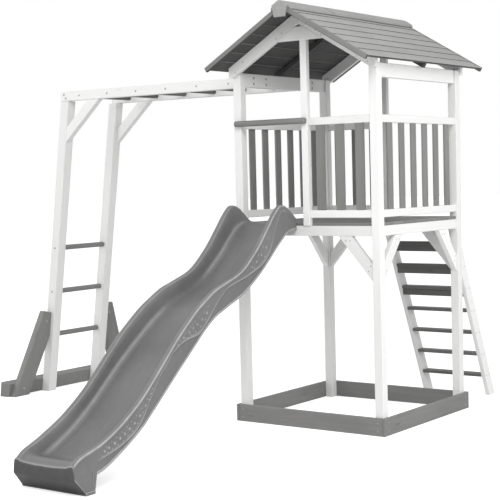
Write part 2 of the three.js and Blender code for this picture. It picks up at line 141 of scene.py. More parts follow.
def timber_material(name, base, grain, streak, worn_and_highlit, knot, rough, grain_depth):
    """Softwood under a thin opaque finish: "grain" runs along it, "edge" marks its arrises."""
    n = Nodes(name)
    along = n.add("Attribute", attribute_name="grain").outputs["Vector"]
    edge = n.add("Attribute", attribute_name="edge").outputs["Fac"]
    board = n.add("Attribute", attribute_name="board").outputs["Fac"]
    rings = n.noise(n.scale(along, (0.55, 9.0, 9.0)), 6.0, 3.0, 0.6, 0.6)
    fibres = n.noise(n.scale(along, (0.7, 26.0, 26.0)), 16.0, 2.0, 0.6)
    broad = n.noise(n.scale(along, (0.8, 4.0, 4.0)), 2.2, 2.0)
    knots = n.add("TexVoronoi", {"Vector": n.scale(along, (1.0, 3.2, 3.2)), "Scale": 3.4,
                                 "Randomness": 1.0}).outputs["Distance"]
    knot_mask = n.ramp(knots, 0.115, 0.045)
    brush = n.math("MULTIPLY", n.ramp(rings, 0.38, 0.66), 0.62)
    tone = n.math("ADD", brush, n.math("MULTIPLY", n.ramp(fibres, 0.3, 0.7), 0.38))
    color = n.mix(tone, grain, base)
    color = n.mix(n.math("MULTIPLY", n.ramp(broad, 0.42, 0.68), 0.55), color, streak)
    shade = n.ramp(board, 0.0, 1.0, 0.93, 1.06)
    shade = n.add("CombineColor", {0: shade, 1: shade, 2: shade}).outputs[0]
    color = n.mix(1.0, color, shade, "MULTIPLY")
    color = n.mix(n.math("MULTIPLY", knot_mask, 0.5), color, knot)
    scuff = n.ramp(n.noise(along, 34.0, 3.0, 0.65), 0.40, 0.62)
    wear = n.math("MULTIPLY", n.ramp(edge, 0.35, 1.0), scuff)
    color = n.mix(n.math("MULTIPLY", wear, 0.65), color, worn_and_highlit)
    roughness = n.math("ADD", n.ramp(fibres, 0.3, 0.7, rough - 0.07, rough + 0.07),
                       n.math("MULTIPLY", wear, 0.12), clamp=True)
    normal = n.bump(rings, 0.35, grain_depth)
    normal = n.bump(fibres, 0.30, grain_depth * 0.5, normal)
    normal = n.bump(knot_mask, 0.25, 0.0006, normal)
    return n.finish(color, roughness, normal)


def plastic_material():
    """Blow-moulded polyethylene: mottled grey, pebbled panels, pale lines of rubbed wear and painted
    highlight, painted shade on the front.
    """
    n = Nodes("slide_plastic")
    place = n.add("NewGeometry").outputs["Position"]
    edge = n.add("Attribute", attribute_name="edge").outputs["Fac"]
    pebble = n.add("Attribute", attribute_name="pebble").outputs["Fac"]
    cloud = n.noise(place, 2.6, 4.0, 0.6)
    mottle = n.noise(place, 24.0, 4.0, 0.6)
    fine = n.noise(place, 420.0, 2.0, 0.5)
    stipple = n.noise(place, 95.0, 2.0, 0.5)
    streaks = n.noise(n.scale(place, (60.0, 1.6, 1.6)), 1.0, 3.0, 0.6)
    color = n.mix(n.ramp(cloud, 0.35, 0.68), (0.132, 0.132, 0.132, 1), (0.172, 0.172, 0.172, 1))
    color = n.mix(n.math("MULTIPLY", n.ramp(mottle, 0.45, 0.72), 0.25), color, (0.205, 0.205, 0.205, 1))
    color = n.mix(n.math("MULTIPLY", n.ramp(streaks, 0.50, 0.70), 0.12), color, (0.230, 0.230, 0.230, 1))
    dimples = n.math("MULTIPLY", n.ramp(stipple, 0.35, 0.65), pebble)
    color = n.mix(n.math("MULTIPLY", dimples, 0.30), color, (0.230, 0.230, 0.230, 1))
    # Painted shade: the front face under the lip is darkened towards black.
    painted_shade = n.add("Attribute", attribute_name="painted_shade").outputs["Fac"]
    painted_shade_amount = n.math("MULTIPLY", painted_shade, n.ramp(mottle, 0.25, 0.65, 0.85, 0.65))
    color = n.mix(painted_shade_amount, color, (0.024, 0.024, 0.024, 1))
    # Pale lines along rims, lip, wave and crease: rubbed wear and painted highlight.
    worn_and_highlit = n.math("MULTIPLY", edge, n.ramp(mottle, 0.30, 0.60, 0.75, 1.0))
    color = n.mix(n.math("MULTIPLY", worn_and_highlit, 0.80), color, (0.52, 0.52, 0.52, 1))
    normal = n.bump(fine, 0.18, 0.0004)
    normal = n.bump(mottle, 0.12, 0.0010, normal)
    normal = n.bump(dimples, 0.55, 0.0012, normal)
    return n.finish(color, n.ramp(mottle, 0.3, 0.7, 0.36, 0.48), normal)


def steel_material():
    """Zinc-plated screw heads, dulled by weather."""
    n = Nodes("zinc")
    place = n.add("NewGeometry").outputs["Position"]
    spots = n.noise(place, 260.0, 3.0, 0.6)
    color = n.mix(n.ramp(spots, 0.35, 0.7), (0.34, 0.34, 0.34, 1), (0.52, 0.52, 0.51, 1))
    n.put(n.shader.inputs["Metallic"], 0.75)
    return n.finish(color, n.ramp(spots, 0.3, 0.7, 0.42, 0.62), n.bump(spots, 0.2, 0.0003))


WHITE = timber_material(
    "white_timber", (0.84, 0.84, 0.835, 1), (0.80, 0.80, 0.79, 1), (0.815, 0.815, 0.81, 1),
    worn_and_highlit=(0.72, 0.71, 0.68, 1), knot=(0.70, 0.69, 0.66, 1), rough=0.55, grain_depth=0.0004)
GREY = timber_material(
    "grey_timber", (0.215, 0.214, 0.211, 1), (0.170, 0.169, 0.166, 1), (0.240, 0.238, 0.233, 1),
    worn_and_highlit=(0.36, 0.355, 0.345, 1), knot=(0.110, 0.106, 0.100, 1), rough=0.62, grain_depth=0.0008)
# Grey stain darkened further as painted shade, for the ladder treads and overhead rungs.
GREY_PAINTED_SHADE = timber_material(
    "grey_timber_painted_shade", (0.120, 0.119, 0.117, 1), (0.090, 0.089, 0.087, 1), (0.140, 0.138, 0.135, 1),
    worn_and_highlit=(0.24, 0.235, 0.225, 1), knot=(0.06, 0.058, 0.055, 1), rough=0.62, grain_depth=0.0008)
ROOFING = timber_material(
    "roof_timber", (0.345, 0.344, 0.340, 1), (0.285, 0.284, 0.280, 1), (0.375, 0.372, 0.366, 1),
    worn_and_highlit=(0.45, 0.445, 0.435, 1), knot=(0.19, 0.186, 0.18, 1), rough=0.66, grain_depth=0.0008)
# Roof timber darkened as painted shade, for the upright fascia strips.
FASCIA_PAINTED_SHADE = timber_material(
    "fascia_painted_shade", (0.200, 0.199, 0.196, 1), (0.160, 0.159, 0.156, 1), (0.222, 0.220, 0.216, 1),
    worn_and_highlit=(0.33, 0.325, 0.315, 1), knot=(0.11, 0.108, 0.104, 1), rough=0.64, grain_depth=0.0008)
# Roof timber darkened as painted shade, for faces that look down and for the batten under the roof.
SHADED = timber_material(
    "roof_underside_painted_shade", (0.070, 0.070, 0.069, 1), (0.052, 0.052, 0.051, 1), (0.082, 0.081, 0.080, 1),
    worn_and_highlit=(0.12, 0.118, 0.115, 1), knot=(0.035, 0.034, 0.033, 1), rough=0.7, grain_depth=0.0008)
PLASTIC = plastic_material()
ZINC = steel_material()


# ---------------------------------------------------------------- mesh building

class Piece:
    """Collects timbers and other shells into one named mesh with its attributes."""

    def __init__(self, name):
        self.name = name
        self.verts, self.faces = [], []
        self.grain, self.edge, self.board = [], [], []

    def shell(self, points, faces, grain, edge, board):
        start = len(self.verts)
        self.verts += [tuple(p) for p in points]
        self.faces += [tuple(start + i for i in f) for f in faces]
        self.grain += grain
        self.edge += edge
        self.board += [board] * len(points)

    def solid(self, bm, axis, across, arris=0.003):
        """Rounds the arrises of a closed bmesh and adds it. "axis" is the way its grain runs."""
        board = rng.random()
        if arris:
            bm.normal_update()
            sharp = [e for e in bm.edges if e.calc_face_angle(0) > math.radians(20)]
            made = bmesh.ops.bevel(bm, geom=sharp, offset=arris, segments=2, profile=0.5,
                                   affect="EDGES", clamp_overlap=True)
            rounded = set(made["faces"])
        else:
            rounded = set()
        bmesh.ops.recalc_face_normals(bm, faces=bm.faces)
        axis = axis.normalized()
        across = (across - across.dot(axis) * axis).normalized()
        third = axis.cross(across)
        shift = Vector((board * 37.0 % 9.0, board * 91.0 % 5.0, board * 53.0 % 7.0))
        bm.verts.index_update()
        points, grain, edge = [], [], []
        for v in bm.verts:
            points.append(v.co.copy())
            grain.append(Vector((v.co.dot(axis), v.co.dot(across), v.co.dot(third))) + shift)
            edge.append(1.0 if rounded and all(f in rounded for f in v.link_faces) else 0.0)
        faces = [[v.index for v in f.verts] for f in bm.faces]
        self.shell(points, faces, grain, edge, board)
        bm.free()

    def make(self, material, replaces=(), slot=None, weighted=True, under=None):
        """Makes the object. Faces that look down get the material "under", a darker copy used as painted
        shade.
        """
        mesh = bpy.data.meshes.new(self.name)
        mesh.from_pydata([Vector(v) + ORIGIN for v in self.verts], [], self.faces)
        for name, kind, values in (("grain", "FLOAT_VECTOR", self.grain),
                                   ("edge", "FLOAT", self.edge), ("board", "FLOAT", self.board)):
            layer = mesh.attributes.new(name, kind, "POINT")
            flat = [c for v in values for c in v] if kind == "FLOAT_VECTOR" else values
            layer.data.foreach_set("vector" if kind == "FLOAT_VECTOR" else "value", flat)
        mesh.materials.append(material)
        mesh.polygons.foreach_set("use_smooth", [True] * len(mesh.polygons))
        mesh.update()
        if under:
            mesh.materials.append(under)
            looks_down = [1 if face.normal.z < -0.3 else 0 for face in mesh.polygons]
            mesh.polygons.foreach_set("material_index", looks_down)
        obj = bpy.data.objects.new(self.name, mesh)
        collection.objects.link(obj)
        if weighted:
            modifier = obj.modifiers.new("flat_faces", "WEIGHTED_NORMAL")
            modifier.weight = 90
        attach(obj, "root")
        if replaces:
            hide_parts(*replaces)
        return obj


def prism(outline, extrude):
    """Closed bmesh from a flat outline and the vector it is drawn out along."""
    bm = bmesh.new()
    low = [bm.verts.new(p) for p in outline]
    high = [bm.verts.new(Vector(p) + extrude) for p in outline]
    bm.faces.new(list(reversed(low)))
    bm.faces.new(high)
    for i in range(len(outline)):
        j = (i + 1) % len(outline)
        bm.faces.new((low[i], low[j], high[j], high[i]))
    bmesh.ops.recalc_face_normals(bm, faces=bm.faces)
    return bm


def block(piece, x0, x1, y0, y1, z0, z1, axis, arris=0.003):
    """Box between two corners, with its grain along X, Y or Z."""
    outline = [Vector((x0, y0, z0)), Vector((x1, y0, z0)), Vector((x1, y1, z0)), Vector((x0, y1, z0))]
    across = X if axis is not X else Y
    piece.solid(prism(outline, Vector((0, 0, z1 - z0))), axis, across, arris)


def profile_y(piece, outline, y0, y1, axis, arris=0.003):
    """Outline given in X-Z, drawn out from y0 to y1."""
    piece.solid(prism([Vector((x, y0, z)) for x, z in outline], Vector((0, y1 - y0, 0))), axis, Y, arris)


def profile_x(piece, outline, x0, x1, axis, arris=0.003):
    """Outline given in Y-Z, drawn out from x0 to x1."""
    piece.solid(prism([Vector((x0, y, z)) for y, z in outline], Vector((x1 - x0, 0, 0))), axis, X, arris)


def lathe(piece, start, end, rings, sides=24, board=None):
    """Turned bar: rings of (distance along, radius, edge) between start and end."""
    start, end = Vector(start), Vector(end)
    axis = (end - start).normalized()
    u = axis.orthogonal().normalized()
    v = axis.cross(u)
    board = rng.random() if board is None else board
    shift = Vector((board * 37.0 % 9.0, board * 91.0 % 5.0, board * 53.0 % 7.0))
    points, grain, edge, faces = [], [], [], []
    for along, radius, worn_and_highlit in rings:
        for k in range(sides):
            a = 2 * math.pi * k / sides
            p = start + axis * along + (u * math.cos(a) + v * math.sin(a)) * radius
            points.append(p)
            grain.append(Vector((along, math.cos(a) * radius, math.sin(a) * radius)) + shift)
            edge.append(worn_and_highlit)
    for i in range(len(rings) - 1):
        for k in range(sides):
            m = (k + 1) % sides
            faces.append((i * sides + k, i * sides + m, (i + 1) * sides + m, (i + 1) * sides + k))
    faces.append(tuple(reversed(range(sides))))
    last = (len(rings) - 1) * sides
    faces.append(tuple(last + k for k in range(sides)))
    piece.shell(points, faces, grain, edge, board)


def round_bar(piece, start, end, radius):
    """Planed round bar with softened ends."""
    length = (Vector(end) - Vector(start)).length
    soft = 0.004
    steps = [(0, radius - soft, 0.3), (soft * 0.35, radius - soft * 0.35, 1.0), (soft, radius, 0.2)]
    middle = [(soft + (length - 2 * soft) * k / 6, radius, 0.0) for k in range(1, 6)]
    closing = [(length - a, r, w) for a, r, w in reversed(steps)]
    lathe(piece, start, end, steps + middle + closing)


# ---------------------------------------------------------------- screws

SCREWS = Piece("screws")
BOLTS = Piece("bolts")


def screw(at, normal, radius=0.0048):
    """Countersunk head a hair proud of the timber, with its cross recess left as a dimple."""
    normal = Vector(normal).normalized()
    at = Vector(at) - normal * 0.0016
    rings = [(0.0, radius * 0.98, 0.0), (0.0014, radius, 0.0), (0.0019, radius * 0.92, 0.0),
             (0.0022, radius * 0.62, 0.0), (0.0012, radius * 0.30, 0.0)]
    lathe(SCREWS, at, at + normal, rings, 12, 0.5)


def bolt(at, normal, radius=0.010):
    """Domed coach-bolt head."""
    normal = Vector(normal).normalized()
    at = Vector(at) - normal * 0.0012
    rings = [(0.0, radius, 0.0), (0.0016, radius, 0.0)]
    for k in range(1, 5):
        a = math.pi / 2 * k / 5
        rings.append((0.0016 + 0.0038 * math.sin(a), radius * math.cos(a), 0.0))
    lathe(BOLTS, at, at + normal, rings, 18, 0.5)


# ---------------------------------------------------------------- tower

def corner_posts():
    for side, sx in (("left", -1), ("right", 1)):
        for end, sy in (("front", -1), ("back", 1)):
            name = f"corner_post_{end}_{side}"
            piece = Piece(name + "_timber")
            x, y, h = sx * MID_X, sy * MID_Y, POST / 2
            block(piece, x - h, x + h, y - h, y + h, 0, POST_H, Z, 0.004)
            piece.make(WHITE, [name], "white_timber")


def mid_posts():
    half = 0.022
    top = roof_line(2 * half) - 0.002
    for end, sy, x in (("front", -1, 0.008), ("back", 1, -0.025)):
        piece = Piece(f"mid_post_{end}_timber")
        a, b = sorted((sy * HALF_Y, sy * (HALF_Y - RAIL_T)))
        block(piece, x - half, x + half, a, b, BEAM_TOP + FIT, top, Z)
        piece.make(WHITE, [f"mid_post_{end}"], "white_timber")


def deck_beams():
    t = RAIL_T / 2
    for end, sy in (("front", -1), ("back", 1)):
        piece = Piece(f"deck_beam_{end}_timber")
        y = sy * MID_Y
        block(piece, -IN_X + FIT, IN_X - FIT, y - t, y + t, BEAM_Z, BEAM_TOP, X)
        piece.make(WHITE, [f"deck_beam_{end}"], "white_timber")
    for side, sx in (("left", -1), ("right", 1)):
        piece = Piece(f"deck_beam_{side}_timber")
        x = sx * MID_X
        block(piece, x - t, x + t, -IN_Y + FIT, IN_Y - FIT, BEAM_Z, BEAM_TOP, Y)
        piece.make(WHITE, [f"deck_beam_{side}"], "white_timber")


def knee_braces():
    out, inner, slope, t = 0.225, 0.140, 1.16, RAIL_T / 2
    z = BEAM_Z - FIT

    def points(face, sign):
        f = face - FIT
        return [(sign * f, z - out * slope), (sign * f, z - inner * slope),
                (sign * (f - inner), z), (sign * (f - out), z)]

    for side, sx in (("left", -1), ("right", 1)):
        for end, sy in (("front", -1), ("back", 1)):
            x, y = sx * MID_X, sy * MID_Y
            a = Piece(f"knee_brace_{end}_{side}_a_timber")
            profile_y(a, points(IN_X, sx), y - t, y + t, Vector((-sx, 0, slope)))
            a.make(WHITE, [f"knee_brace_{end}_{side}_a"], "white_timber")
            b = Piece(f"knee_brace_{end}_{side}_b_timber")
            profile_x(b, points(IN_Y, sy), x - t, x + t, Vector((0, -sy, slope)))
            b.make(WHITE, [f"knee_brace_{end}_{side}_b"], "white_timber")
            reach = (out + inner) / 2
            for k in (-0.014, 0.014):
                low, high = z - reach * slope + 0.03 + k, z - 0.026
                post, inboard = -0.022 + k * 0.5, -reach + 0.02 + k
                screw((sx * (IN_X + post), sy * (MID_Y + t), low), (0, sy, 0))
                screw((sx * (IN_X + inboard), sy * (MID_Y + t), high), (0, sy, 0))
                screw((sx * (MID_X + t), sy * (IN_Y + post), low), (sx, 0, 0))
                screw((sx * (MID_X + t), sy * (IN_Y + inboard), high), (sx, 0, 0))


def sandbox():
    t, h = 0.020, 0.102
    out = t + FIT
    span = HALF_Y + out
    for side, sx in (("left", -1), ("right", 1)):
        piece = Piece(f"sandbox_{side}_board")
        a, b = sorted((sx * (HALF_X + FIT), sx * (HALF_X + out)))
        block(piece, a, b, -span, span, 0, h, Y, 0.0035)
        piece.make(GREY, [f"sandbox_{side}"], "grey_timber")
        for sy in (-1, 1):
            for z in (0.028, 0.074):
                screw((sx * (HALF_X + out), sy * MID_Y, z), (sx, 0, 0))
    for end, sy in (("front", -1), ("back", 1)):
        piece = Piece(f"sandbox_{end}_board")
        a, b = sorted((sy * (HALF_Y + FIT), sy * (HALF_Y + out)))
        block(piece, -HALF_X, HALF_X, a, b, 0, h, X, 0.0035)
        piece.make(GREY, [f"sandbox_{end}"], "grey_timber")
        for sx in (-1, 1):
            for z in (0.028, 0.074):
                screw((sx * MID_X, sy * (HALF_Y + out), z), (0, sy, 0))


def balustrade(name, lo, hi, count, pitch, fixed, along_x):
    """White rails with grey slats standing in their grooves."""
    low_z, top_z, rail_h = BEAM_TOP + 0.046, BEAM_TOP + 0.578, 0.044
    slat_w, slat_t, t = 0.058, 0.011, RAIL_T / 2
    slat_line = fixed + math.copysign(0.009, fixed)
    rails, slats = Piece(name + "_rails"), Piece(name + "_slats")

    def place(piece, a, b, line, half, z0, z1, axis, arris):
        if along_x:
            block(piece, a, b, line - half, line + half, z0, z1, axis, arris)
        else:
            block(piece, line - half, line + half, a, b, z0, z1, axis, arris)

    run = X if along_x else Y
    for z in (low_z, top_z):
        place(rails, lo, hi, fixed, t, z, z + rail_h, run, 0.004)
    for i in range(count):
        c = (lo + hi) / 2 + (i - (count - 1) / 2) * pitch
        place(slats, c - slat_w / 2, c + slat_w / 2, slat_line, slat_t / 2,
              low_z + rail_h - 0.012, top_z + 0.012, Z, 0.002)
    rails.make(WHITE, [name], "white_timber")
    slats.make(GREY, [name], "grey_timber")


def balustrades():
    half = 0.022 + FIT
    span = IN_Y - FIT
    balustrade("balustrade_front", 0.008 + half, IN_X - FIT, 3, 0.131, -MID_Y, True)
    balustrade("balustrade_back", -IN_X + FIT, -0.025 - half, 3, 0.131, MID_Y, True)
    balustrade("balustrade_left", -span, span, 6, 0.137, -MID_X, False)
    balustrade("balustrade_right", -span, span, 6, 0.137, MID_X, False)


def handrail():
    r = 0.0175
    y = -HALF_Y - FIT - r
    piece = Piece("handrail_bar")
    round_bar(piece, (-HALF_X + 0.022, y, 1.786), (0.026, y, 1.786), r)
    piece.make(GREY, ["handrail"], "grey_timber", weighted=False)


def deck():
    """Boards lying on the side beams, notched round the posts, over three battens."""
    boards = Piece("deck_boards")
    battens = Piece("deck_battens")
    span = 2 * (HALF_Y - RAIL_T - FIT)
    count, gap = 7, 0.005
    pitch = (span + gap) / count
    wide, narrow, notch = MID_X + RAIL_T / 2, IN_X - FIT, IN_Y - FIT
    under = BEAM_TOP + FIT
    batten_end = MID_Y - RAIL_T / 2 - FIT
    for i in range(count):
        y0 = -span / 2 + i * pitch
        y1 = y0 + pitch - gap
        if i in (0, count - 1):
            near, far = (y1, y0) if i == 0 else (y0, y1)
            step = math.copysign(notch, far)
            outline = [(-wide, near), (wide, near), (wide, step), (narrow, step),
                       (narrow, far), (-narrow, far), (-narrow, step), (-wide, step)]
            bm = prism([Vector((x, y, under)) for x, y in outline], Vector((0, 0, DECK_TOP - under)))
            boards.solid(bm, X, Y, 0.0025)
        else:
            block(boards, -wide, wide, y0, y1, under, DECK_TOP, X, 0.0025)
        for x in (-narrow + 0.02, 0.0, narrow - 0.02):
            for k in (0.03, pitch - gap - 0.03):
                screw((x, y0 + k, DECK_TOP), Z)
    for x in (-narrow + 0.02, 0.0, narrow - 0.02):
        block(battens, x - 0.02, x + 0.02, -batten_end, batten_end, BEAM_TOP - 0.036, under, Y)
    boards.make(GREY, ["deck"], "grey_timber")
    battens.make(GREY, ["deck"], "grey_timber")


def top_beams():
    t = RAIL_T / 2
    for side, sx in (("left", -1), ("right", 1)):
        x = sx * MID_X
        piece = Piece(f"top_beam_{side}_timber")
        block(piece, x - t, x + t, -IN_Y + FIT, IN_Y - FIT, POST_H - 0.080, POST_H, Y)
        piece.make(WHITE, [f"top_beam_{side}"], "white_timber")
    for y in (-0.346, -0.216, 0.300):
        for z in (2.030, 2.065):
            bolt((-MID_X + t, y, z), X, 0.0075)


def gable_frames():
    depth = 0.066 / math.cos(PITCH)
    slope = math.tan(PITCH)
    foot_x, collar_z, collar_h = HALF_X + 0.009, 2.246, 0.077
    foot = roof_line(foot_x)
    cut = foot - 0.057
    inner = APEX_Z - depth
    x_cut = (inner - cut) / slope
    high = collar_z + collar_h
    x_low, x_high = (inner - collar_z) / slope, (inner - high) / slope
    near = HALF_Y + FIT
    for end, sy in (("front", -1), ("back", 1)):
        y0, y1 = sorted((sy * near, sy * (near + RAFTER_T)))
        piece = Piece(f"gable_frame_{end}_timbers")
        for sx in (-1, 1):
            rafter = [(0.0004 * sx, APEX_Z), (sx * foot_x, foot), (sx * foot_x, cut),
                      (sx * x_cut, cut), (0.0004 * sx, inner)]
            profile_y(piece, rafter, y0, y1, Vector((sx, 0, -slope)), 0.0025)
        collar = [(-x_low + 0.0004, collar_z), (x_low - 0.0004, collar_z),
                  (x_high - 0.0004, high), (-x_high + 0.0004, high)]
        profile_y(piece, collar, y0, y1, X, 0.0025)
        piece.make(WHITE, [f"gable_frame_{end}"], "white_timber")
        face = sy * (near + RAFTER_T)
        for sx in (-1, 1):
            for a, b in ((0.40, -0.020), (0.455, -0.045)):
                screw((sx * a, face, roof_line(a) + b - 0.012), (0, sy, 0))
            screw((sx * 0.115, face, roof_line(0.115) - 0.055), (0, sy, 0))
            screw((sx * 0.155, face, roof_line(0.155) - 0.060), (0, sy, 0))


# ---------------------------------------------------------------- roof

def slope_point(sx, along, lift):
    """Point on a roof slope: "along" the slope from the ridge, "lift" off its underside."""
    c, s = math.cos(PITCH), math.sin(PITCH)
    return sx * (along * c + lift * s), APEX_Z - along * s + lift * c


def roof_boards(piece, sx):
    """Seven boards, each lapping over the one below it."""
    count, thick, lap = 7, 0.0140, 0.0062
    run = (EAVE_X - 0.0105) / math.cos(PITCH)
    pitch = run / count
    for i in range(count):
        high = i * pitch + (0.001 if i == 0 else -0.010)
        low = (i + 1) * pitch
        outline = [slope_point(sx, high, 0.0006), slope_point(sx, low, lap),
                   slope_point(sx, low, lap + thick), slope_point(sx, high, 0.0006 + thick)]
        end = ROOF_HALF - FASCIA_T - FIT - rng.random() * 0.001
        profile_y(piece, outline, -end, end, Y, 0.0026)


def roof():
    """Boards on a middle batten, with a thin strip over the ends of the boards."""
    c, s = math.cos(PITCH), math.sin(PITCH)
    for side, sx in (("left", -1), ("right", 1)):
        boards = Piece(f"roof_slope_{side}_boards")
        roof_boards(boards, sx)
        # Undersides of the boards get painted shade.
        boards.make(ROOFING, [f"roof_slope_{side}"], "roof_timber", under=SHADED)
        strips = Piece(f"roof_slope_{side}_fascias")
        run = (EAVE_X - 0.0105) / c
        for sy in (-1, 1):
            y0, y1 = sorted((sy * ROOF_HALF, sy * (ROOF_HALF - FASCIA_T)))
            strip = [slope_point(sx, 0.008, -0.008), slope_point(sx, run, -0.008),
                     slope_point(sx, run, 0.0205), slope_point(sx, 0.008, 0.0205)]
            profile_y(strips, strip, y0, y1, Vector((sx * c, 0, -s)), 0.003)
        # The fascia strips are painted darker as shade, their undersides more so.
        strips.make(FASCIA_PAINTED_SHADE, [f"roof_slope_{side}"], "roof_timber", under=SHADED)
        batten = Piece(f"roof_slope_{side}_batten")
        line = [slope_point(sx, 0.036, -0.028), slope_point(sx, run - 0.014, -0.028),
                slope_point(sx, run - 0.014, 0.0004), slope_point(sx, 0.036, 0.0004)]
        profile_y(batten, line, -0.016, 0.016, Vector((sx * c, 0, -s)), 0.003)
        # The batten is painted in shade all over.
        batten.make(SHADED, [f"roof_slope_{side}"], "roof_timber")


def ridge_cap():
    seat = APEX_Z + 0.016 / math.cos(PITCH) + 0.005 + 2 * FIT
    slope, t, w = math.tan(PITCH), 0.014 / math.cos(PITCH), 0.066
    end = ROOF_HALF + FIT
    piece = Piece("ridge_cap_boards")
    for sx in (-1, 1):
        outline = [(0.0003 * sx, seat), (sx * w, seat - slope * w), (sx * w, seat - slope * w + t),
                   (0.0003 * sx, seat + t)]
        profile_y(piece, outline, -end - 0.001, end + 0.001, Y, 0.002)
    plate = [(0, seat + t), (0.050, seat - slope * 0.050 + t), (0.034, seat - 0.082),
             (-0.034, seat - 0.082), (-0.050, seat - slope * 0.050 + t)]
    for sy in (-1, 1):
        y0, y1 = sorted((sy * end, sy * (end + 0.020)))
        profile_y(piece, plate, y0, y1, Z, 0.003)
        screw((0.012, sy * (end + 0.020), seat - 0.030), (0, sy, 0))
        screw((-0.012, sy * (end + 0.020), seat - 0.030), (0, sy, 0))
    # Undersides get painted shade.
    piece.make(ROOFING, ["ridge_cap"], "roof_timber", under=SHADED)


# ---------------------------------------------------------------- slide

# Distance out from the tower, then heights of rim, floor and lower edge
SLIDE_LINE = [
    (0.002, 1.226, 1.206, 1.158), (0.080, 1.286, 1.202, 1.146), (0.150, 1.306, 1.174, 1.104),
    (0.215, 1.262, 1.122, 1.052), (0.300, 1.170, 1.042, 0.982), (0.400, 1.066, 0.962, 0.908),
    (0.540, 0.960, 0.868, 0.826), (0.700, 0.906, 0.812, 0.768), (0.800, 0.876, 0.776, 0.732),
    (0.900, 0.828, 0.724, 0.676), (1.000, 0.772, 0.662, 0.604), (1.150, 0.664, 0.556, 0.494),
    (1.260, 0.568, 0.470, 0.408), (1.370, 0.468, 0.378, 0.318), (1.460, 0.392, 0.308, 0.248),
    (1.600, 0.300, 0.218, 0.166), (1.740, 0.232, 0.150, 0.100), (1.820, 0.204, 0.126, 0.084),
    (1.890, 0.180, 0.116, 0.080), (1.942, 0.142, 0.112, 0.078),
]
# Distance out, then height of the moulded wave as a share of the side wall
SLIDE_WAVE = [
    (0.002, 0.90), (0.10, 0.90), (0.17, 0.74), (0.21, 0.58), (0.235, 0.40),
    (0.28, 0.21), (0.34, 0.20), (0.42, 0.36),
    (0.50, 0.56), (0.57, 0.70), (0.67, 0.75), (0.76, 0.55), (0.83, 0.32), (0.90, 0.17), (0.96, 0.18),
    (1.03, 0.40), (1.10, 0.62), (1.22, 0.84), (1.28, 0.84), (1.37, 0.60), (1.43, 0.36), (1.48, 0.20),
    (1.53, 0.17), (1.61, 0.25), (1.75, 0.46), (1.942, 0.60),
]
SLIDE_PIPS = [0.31, 0.355, 0.405, 0.45, 0.89, 0.935, 0.978, 1.018, 1.058, 1.105, 1.155,
              1.385, 1.43, 1.475, 1.515, 1.55, 1.585, 1.62, 1.66, 1.70, 1.735]
SLIDE_X, SLIDE_HALF, SLIDE_TAPER = -0.228, 0.210, 0.042
LIP_U, FOOT_U, FOOT_BACK_U, FOOT_KNEE_Z = 1.939, 1.868, 1.808, 0.082
LIP_ROUND = 0.014
WALL_POINTS = 20
KNEE_ROW = 7


def smooth(value, start, end):
    """0 at start, 1 at end, eased in between. Start may be the larger."""
    f = min(max((value - start) / (end - start), 0.0), 1.0)
    return f * f * (3 - 2 * f)


def spline(rows, t):
    """Point on the smooth curve through rows, t from 0 to 1, each row an equal share."""
    n = len(rows) - 1
    at = min(t * n, n - 1e-9)
    i = int(at)
    f = at - i
    out = []
    for a, b, c, d in zip(rows[max(i - 1, 0)], rows[i], rows[i + 1], rows[min(i + 2, n)]):
        v0, v1 = (c - a) / 2, (d - b) / 2
        out.append((2 * b - 2 * c + v0 + v1) * f ** 3 + (-3 * b + 3 * c - 2 * v0 - v1) * f * f + v0 * f + b)
    return out


def row_at(rows, u):
    """The other columns of the smooth curve through rows, where its first column is u."""
    near, far = 0.0, 1.0
    for _ in range(28):
        middle = (near + far) / 2
        if spline(rows, middle)[0] < u:
            near = middle
        else:
            far = middle
    return spline(rows, far)[1:]


def narrowing(u):
    """The slide narrows towards the tower along its right side."""
    return SLIDE_TAPER * smooth(u, 1.35, 0.50)


def lean_in(u, z):
    """Towards the lip the side walls lean in, and widen again to the ground."""
    return 0.016 * smooth(u, 1.70, 1.93) * min(max(z / 0.140, 0.0), 1.0)


def lower_edge(u, low):
    """The lower edge turns down to the ground at the foot, which leans back under the lip."""
    if u > FOOT_U:
        return (u - FOOT_U) / (LIP_U - FOOT_U) * FOOT_KNEE_Z
    return low * (1 - smooth(u, 1.784, 1.812))


def wave_height(u, rim, low):
    return min(max(low + (rim - low) * row_at(SLIDE_WAVE, u)[0], low + 0.022), rim - 0.034)


def wall_rows(u, rim, low):
    """Outside of a side wall, from the lower edge up: (set back, height, edge, pebble). The edge values are
    pale lines of rubbed wear and painted highlight.
    """
    wave = wave_height(u, rim, low)
    fade = smooth(u, 0.09, 0.14) * smooth(u, 1.80, 1.70)
    deep = 0.0018 + 0.0042 * fade
    rows = [(0.0020, low, 0.1, 0.0), (0.0003, low + 0.0025, 0.7, 0.0), (0.0, low + 0.0060, 0.35, 0.0),
            (0.0003, low + 0.0100, 1.0, 0.0), (deep, low + 0.0135, 0.0, 0.0)]
    foot, head = low + 0.0135, wave - 0.0055
    rows += [(deep, foot + (head - foot) * k / 6, 0.0, 0.0) for k in range(1, 7)]
    rows += [(deep * 0.55, wave - 0.0026, 0.25 * fade, 0.0), (0.0014, wave, 0.95 * fade, 0.0),
             (0.0011, wave + 0.0032, 0.55 * fade, 0.4 * fade)]
    foot, head = wave + 0.0032, rim - 0.0205
    rows += [(0.0013, foot + (head - foot) * k / 6, 0.0, fade if k < 6 else 0.0) for k in range(1, 7)]
    return rows


